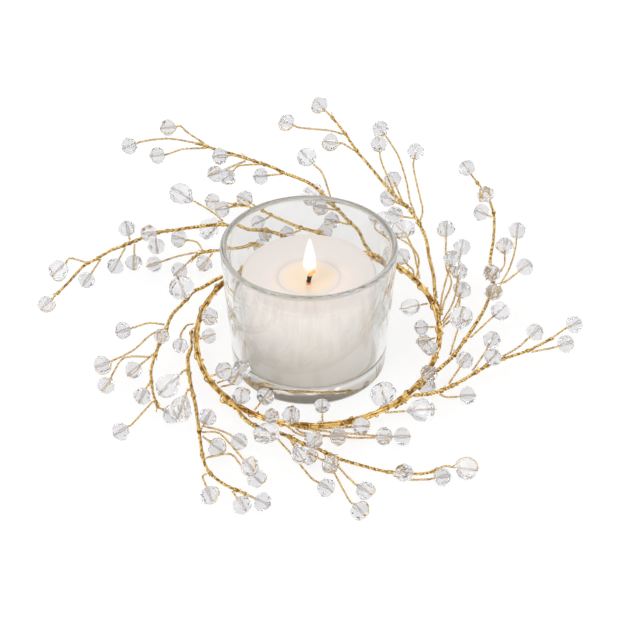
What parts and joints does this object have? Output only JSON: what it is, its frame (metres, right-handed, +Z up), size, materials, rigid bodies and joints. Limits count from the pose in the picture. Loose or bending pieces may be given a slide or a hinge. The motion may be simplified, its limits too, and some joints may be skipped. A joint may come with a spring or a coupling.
{
  "type": "candle ring",
  "caption": "Tilted round hoop of bound gold wires with beaded wire sprays curling off it, around a glass cup that holds a lit candle.",
  "frame": {"origin": "centre of the cup's base, on the surface that the object stands on", "axes": "+Z up; -Y towards the viewer of the picture; +X to the right as pictured"},
  "size_m": [0.2536, 0.2582, 0.0645],
  "materials": {
    "hoop_wire": "satin",
    "stem_wire": "satin",
    "twig_wire": "bright",
    "bead_glass": "faceted, polished",
    "stone_glass": "faceted, polished",
    "cup_glass": "polished",
    "wax": "waxy",
    "wick_plate": "plain",
    "wick": "charred"
  },
  "bodies": {
    "ring": {"hoop_core": "hoop_wire", "hoop_wires": "hoop_wire", "hoop_twigs": "twig_wire", "hoop_beads": "bead_glass", "hoop_stones": "stone_glass", "spray_tails": "hoop_wire", "binding_wire": "twig_wire"},
    "right_front_spray": {"right_front_stem": "stem_wire", "right_front_twigs": "twig_wire", "right_front_beads": "bead_glass"},
    "right_spray": {"right_stem": "stem_wire", "right_twigs": "twig_wire", "right_beads": "bead_glass", "right_stones": "stone_glass"},
    "right_back_spray": {"right_back_stem": "stem_wire", "right_back_twigs": "twig_wire", "right_back_beads": "bead_glass"},
    "back_spray": {"back_stem": "stem_wire", "back_twigs": "twig_wire", "back_beads": "bead_glass", "back_stones": "stone_glass"},
    "back_low_spray": {"back_low_stem": "stem_wire", "back_low_twigs": "twig_wire", "back_low_beads": "bead_glass", "back_low_stones": "stone_glass"},
    "left_back_spray": {"left_back_stem": "stem_wire", "left_back_twigs": "twig_wire", "left_back_beads": "bead_glass", "left_back_stones": "stone_glass"},
    "left_low_spray": {"left_low_stem": "stem_wire", "left_low_twigs": "twig_wire", "left_low_beads": "bead_glass"},
    "left_spray": {"left_stem": "stem_wire", "left_twigs": "twig_wire", "left_beads": "bead_glass", "left_stones": "stone_glass"},
    "left_front_spray": {"left_front_stem": "stem_wire", "left_front_twigs": "twig_wire", "left_front_beads": "bead_glass", "left_front_stones": "stone_glass"},
    "front_spray": {"front_stem": "stem_wire", "front_twigs": "twig_wire", "front_beads": "bead_glass", "front_stones": "stone_glass"},
    "cup": {"cup": "cup_glass"},
    "candle": {"wax": "wax", "wick_plate": "wick_plate", "wick": "wick"}
  },
  "joints": [
    {"name": "right_front_bend", "type": "hinge", "parent": "ring", "child": "right_front_spray", "pos_m": [0.04704, -0.03763, 0.00921], "axis": [0.7314, -0.682, 0], "range_deg": [0, 20]},
    {"name": "right_bend", "type": "hinge", "parent": "ring", "child": "right_spray", "pos_m": [0.05588, -0.02536, 0.01171], "axis": [0.8829, -0.4695, 0], "range_deg": [0, 20]},
    {"name": "right_back_bend", "type": "hinge", "parent": "ring", "child": "right_back_spray", "pos_m": [0.05903, 0.02158, 0.01985], "axis": [0.9397, 0.342, 0], "range_deg": [0, 20]},
    {"name": "back_bend", "type": "hinge", "parent": "ring", "child": "back_spray", "pos_m": [0.03133, 0.05299, 0.02393], "axis": [0.4695, 0.8829, 0], "range_deg": [0, 8]},
    {"name": "back_low_bend", "type": "hinge", "parent": "ring", "child": "back_low_spray", "pos_m": [0.01396, 0.05895, 0.02415], "axis": [0.1736, 0.9848, 0], "range_deg": [0, 15]},
    {"name": "left_back_bend", "type": "hinge", "parent": "ring", "child": "left_back_spray", "pos_m": [-0.00337, 0.05946, 0.02345], "axis": [-0.1219, 0.9925, 0], "range_deg": [0, 20]},
    {"name": "left_low_bend", "type": "hinge", "parent": "ring", "child": "left_low_spray", "pos_m": [-0.01817, 0.05574, 0.02114], "axis": [0, 0, 1], "range_deg": [0, 15]},
    {"name": "left_bend", "type": "hinge", "parent": "ring", "child": "left_spray", "pos_m": [-0.0404, 0.04013, 0.01747], "axis": [0, 0, -1], "range_deg": [0, 15]},
    {"name": "left_front_bend", "type": "hinge", "parent": "ring", "child": "left_front_spray", "pos_m": [-0.05418, -0.00483, 0.01018], "axis": [-0.9925, -0.1219, 0], "range_deg": [0, 20]},
    {"name": "front_bend", "type": "hinge", "parent": "ring", "child": "front_spray", "pos_m": [-0.03111, -0.04408, 0.00455], "axis": [-0.6018, -0.7986, 0], "range_deg": [0, 6]},
    {"name": "cup_lift", "type": "slide", "parent": "ring", "child": "cup", "axis": [0, 0, 1], "range_m": [0, 0.07]},
    {"name": "candle_lift", "type": "slide", "parent": "cup", "child": "candle", "axis": [0, 0, 1], "range_m": [0, 0.065]}
  ]
}
